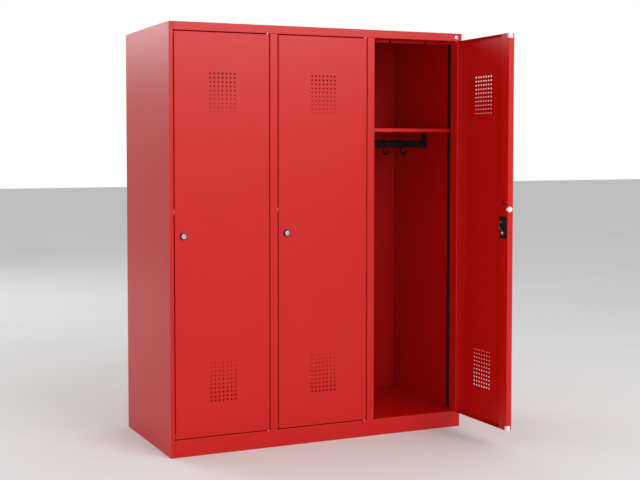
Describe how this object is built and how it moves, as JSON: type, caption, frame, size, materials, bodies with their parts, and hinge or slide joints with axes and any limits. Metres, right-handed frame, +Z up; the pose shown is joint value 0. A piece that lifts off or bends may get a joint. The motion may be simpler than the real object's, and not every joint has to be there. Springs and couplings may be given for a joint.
{
  "type": "school locker",
  "caption": "Free-standing steel locker with side-by-side full-height bays, perforated inset doors on pin hinges, cam locks, hat shelves, and coat rails with sliding hooks.",
  "frame": {"origin": "middle of the cabinet's footprint, on the floor", "axes": "+Z up, -Y out of the front, +X to the right of a person facing the doors"},
  "size_m": [1.2, 0.855, 1.53],
  "materials": {
    "red_powder_coat": "semi-gloss powder coat on folded sheet steel",
    "black_plastic": "satin moulded plastic",
    "white_plastic": "moulded plastic",
    "bright_zinc": "bright zinc-plated steel"
  },
  "bodies": {
    "cabinet": {"left_side_panel": "red_powder_coat", "right_side_panel": "red_powder_coat", "mullion_1": "red_powder_coat", "mullion_2": "red_powder_coat", "partition_1": "red_powder_coat", "partition_2": "red_powder_coat", "back_panel": "red_powder_coat", "top_panel": "red_powder_coat", "base_tray": "red_powder_coat", "top_rail_rivet": "bright_zinc", "floor_1": "red_powder_coat", "shelf_1": "red_powder_coat", "hinge_strips_1": "black_plastic", "coat_rail_1": "black_plastic", "coat_rail_brackets_1": "black_plastic", "hinge_pins_1": "bright_zinc", "floor_2": "red_powder_coat", "shelf_2": "red_powder_coat", "hinge_strips_2": "black_plastic", "coat_rail_2": "black_plastic", "coat_rail_brackets_2": "black_plastic", "hinge_pins_2": "bright_zinc", "floor_3": "red_powder_coat", "shelf_3": "red_powder_coat", "hinge_strips_3": "black_plastic", "coat_rail_3": "black_plastic", "coat_rail_brackets_3": "black_plastic", "hinge_pins_3": "bright_zinc"},
    "door_1": {"door_1_pan": "red_powder_coat", "door_1_corner_caps": "white_plastic", "door_1_buffer": "white_plastic", "door_1_lock_bezel": "black_plastic", "door_1_lock_case": "black_plastic"},
    "door_2": {"door_2_pan": "red_powder_coat", "door_2_corner_caps": "white_plastic", "door_2_buffer": "white_plastic", "door_2_lock_bezel": "black_plastic", "door_2_lock_case": "black_plastic"},
    "door_3": {"door_3_pan": "red_powder_coat", "door_3_corner_caps": "white_plastic", "door_3_buffer": "white_plastic", "door_3_lock_bezel": "black_plastic", "door_3_lock_case": "black_plastic"},
    "lock_1": {"lock_1_plug": "bright_zinc", "lock_1_cam": "bright_zinc"},
    "lock_2": {"lock_2_plug": "bright_zinc", "lock_2_cam": "bright_zinc"},
    "lock_3": {"lock_3_plug": "bright_zinc", "lock_3_cam": "bright_zinc"},
    "hook_1_1": {"coat_hook_1_1": "black_plastic"},
    "hook_1_2": {"coat_hook_1_2": "black_plastic"},
    "hook_1_3": {"coat_hook_1_3": "black_plastic"},
    "hook_2_1": {"coat_hook_2_1": "black_plastic"},
    "hook_2_2": {"coat_hook_2_2": "black_plastic"},
    "hook_2_3": {"coat_hook_2_3": "black_plastic"},
    "hook_3_1": {"coat_hook_3_1": "black_plastic"},
    "hook_3_2": {"coat_hook_3_2": "black_plastic"},
    "hook_3_3": {"coat_hook_3_3": "black_plastic"}
  },
  "joints": [
    {"name": "door_1_hinge", "type": "hinge", "parent": "cabinet", "child": "door_1", "pos_m": [-0.224, -0.245, 0.065], "axis": [0, 0, 1], "range_deg": [0, 110]},
    {"name": "door_1_lock_turn", "type": "hinge", "parent": "door_1", "child": "lock_1", "pos_m": [-0.55, -0.245, 0.781], "axis": [0, -1, 0], "range_deg": [0, 90]},
    {"name": "door_2_hinge", "type": "hinge", "parent": "cabinet", "child": "door_2", "pos_m": [0.176, -0.245, 0.065], "axis": [0, 0, 1], "range_deg": [0, 110]},
    {"name": "door_2_lock_turn", "type": "hinge", "parent": "door_2", "child": "lock_2", "pos_m": [-0.15, -0.245, 0.781], "axis": [0, -1, 0], "range_deg": [0, 90]},
    {"name": "door_3_hinge", "type": "hinge", "parent": "cabinet", "child": "door_3", "pos_m": [0.576, -0.245, 0.065], "axis": [0, 0, 1], "range_deg": [-90, 20]},
    {"name": "door_3_lock_turn", "type": "hinge", "parent": "door_3", "child": "lock_3", "pos_m": [0.576, -0.571, 0.781], "axis": [1, 0, 0], "range_deg": [0, 90]},
    {"name": "hook_1_1_slide", "type": "slide", "parent": "cabinet", "child": "hook_1_1", "axis": [1, 0, 0], "range_m": [-0.03, 0.03]},
    {"name": "hook_1_2_slide", "type": "slide", "parent": "cabinet", "child": "hook_1_2", "axis": [1, 0, 0], "range_m": [-0.03, 0.03]},
    {"name": "hook_1_3_slide", "type": "slide", "parent": "cabinet", "child": "hook_1_3", "axis": [1, 0, 0], "range_m": [-0.03, 0.03]},
    {"name": "hook_2_1_slide", "type": "slide", "parent": "cabinet", "child": "hook_2_1", "axis": [1, 0, 0], "range_m": [-0.03, 0.03]},
    {"name": "hook_2_2_slide", "type": "slide", "parent": "cabinet", "child": "hook_2_2", "axis": [1, 0, 0], "range_m": [-0.03, 0.03]},
    {"name": "hook_2_3_slide", "type": "slide", "parent": "cabinet", "child": "hook_2_3", "axis": [1, 0, 0], "range_m": [-0.03, 0.03]},
    {"name": "hook_3_1_slide", "type": "slide", "parent": "cabinet", "child": "hook_3_1", "axis": [1, 0, 0], "range_m": [-0.03, 0.03]},
    {"name": "hook_3_2_slide", "type": "slide", "parent": "cabinet", "child": "hook_3_2", "axis": [1, 0, 0], "range_m": [-0.03, 0.03]},
    {"name": "hook_3_3_slide", "type": "slide", "parent": "cabinet", "child": "hook_3_3", "axis": [1, 0, 0], "range_m": [-0.03, 0.03]}
  ]
}
